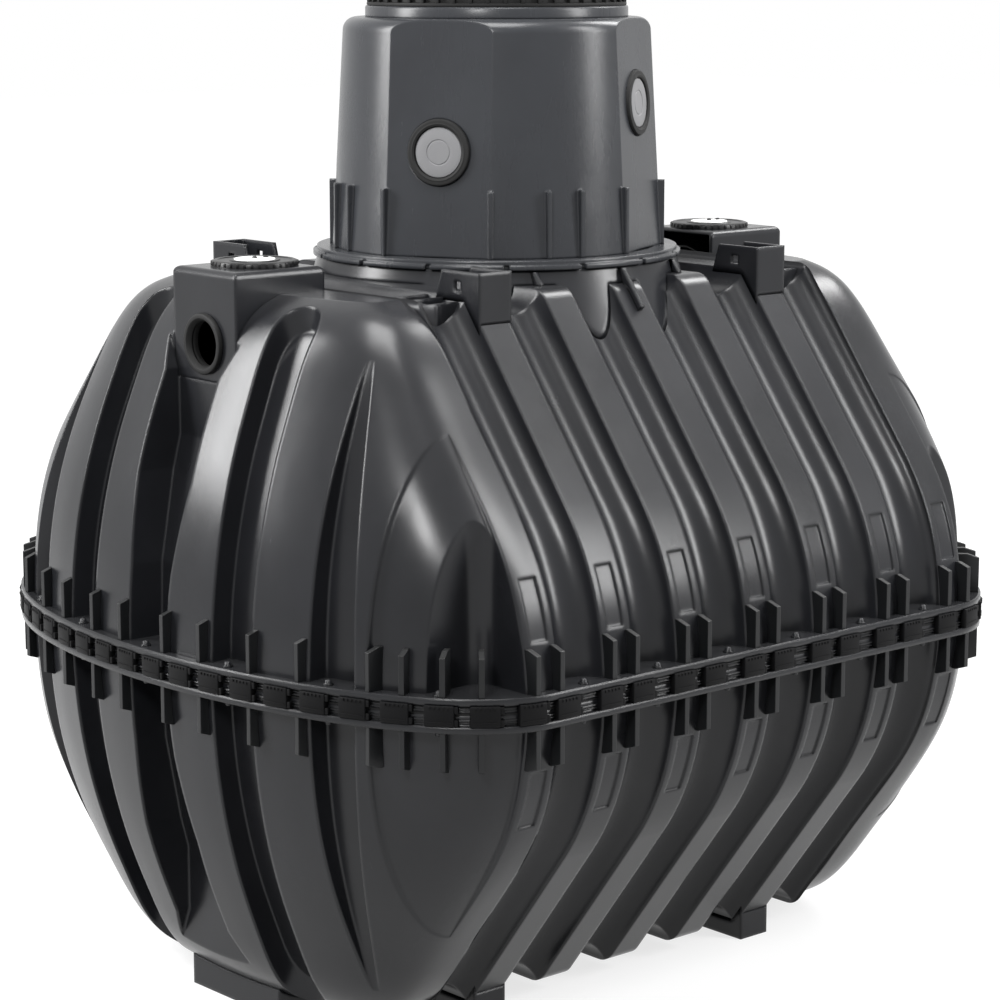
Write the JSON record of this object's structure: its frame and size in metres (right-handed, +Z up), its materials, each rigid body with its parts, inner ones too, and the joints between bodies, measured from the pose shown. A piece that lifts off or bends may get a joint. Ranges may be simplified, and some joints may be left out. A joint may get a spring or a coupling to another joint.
{
  "type": "holding tank",
  "caption": "Buried drainage holding tank: two corrugated plastic half shells clipped at a mid-height flange, end pipe inlets, lifting lugs, feet and a round inspection dome.",
  "frame": {"origin": "middle of the bounding box on the ground, on the underside of the feet", "axes": "+X along the tank from inlet to inlet, +Y across it, +Z up"},
  "size_m": [2.2802, 1.982, 2.572],
  "materials": {
    "shell": "satin anthracite moulded polyethylene",
    "fin": "satin dark anthracite moulded polyethylene",
    "clip": "matt black moulded plastic",
    "dome": "satin grey moulded polyethylene",
    "seal": "matt black rubber",
    "plug": "light grey moulded plastic",
    "cap": "black moulded plastic",
    "cap_disc": "white plastic",
    "cover": "matt black moulded plastic"
  },
  "bodies": {
    "root": {"cap_disc_left": "cap_disc", "cap_disc_right": "cap_disc", "clips_back": "clip", "clips_front": "clip", "clips_left": "clip", "clips_right": "clip", "cover_lid": "cover", "dome": "dome", "dome_base_ring": "dome", "dome_collar": "dome", "dome_port_plugs": "plug", "dome_port_seals": "seal", "end_foot_left": "shell", "end_foot_right": "shell", "flange_seal": "seal", "inlet_housing_left": "shell", "inlet_housing_right": "shell", "inlet_seal_left": "seal", "inlet_seal_right": "seal", "inspection_cap_left": "cap", "inspection_cap_right": "cap", "lifting_lugs_back": "shell", "lifting_lugs_front": "shell", "lower_barrel": "shell", "lower_end_left": "shell", "lower_end_right": "shell", "lower_fins_back": "fin", "lower_fins_front": "fin", "lower_fins_left": "fin", "lower_fins_right": "fin", "lower_flange": "shell", "neck_collar": "shell", "neck_gussets": "shell", "shaft_seal_ring": "seal", "side_feet_back": "shell", "side_feet_front": "shell", "telescopic_shaft": "cover", "upper_barrel": "shell", "upper_end_left": "shell", "upper_end_right": "shell", "upper_fins_back": "fin", "upper_fins_front": "fin", "upper_fins_left": "fin", "upper_fins_right": "fin", "upper_flange": "shell"}
  },
  "joints": []
}
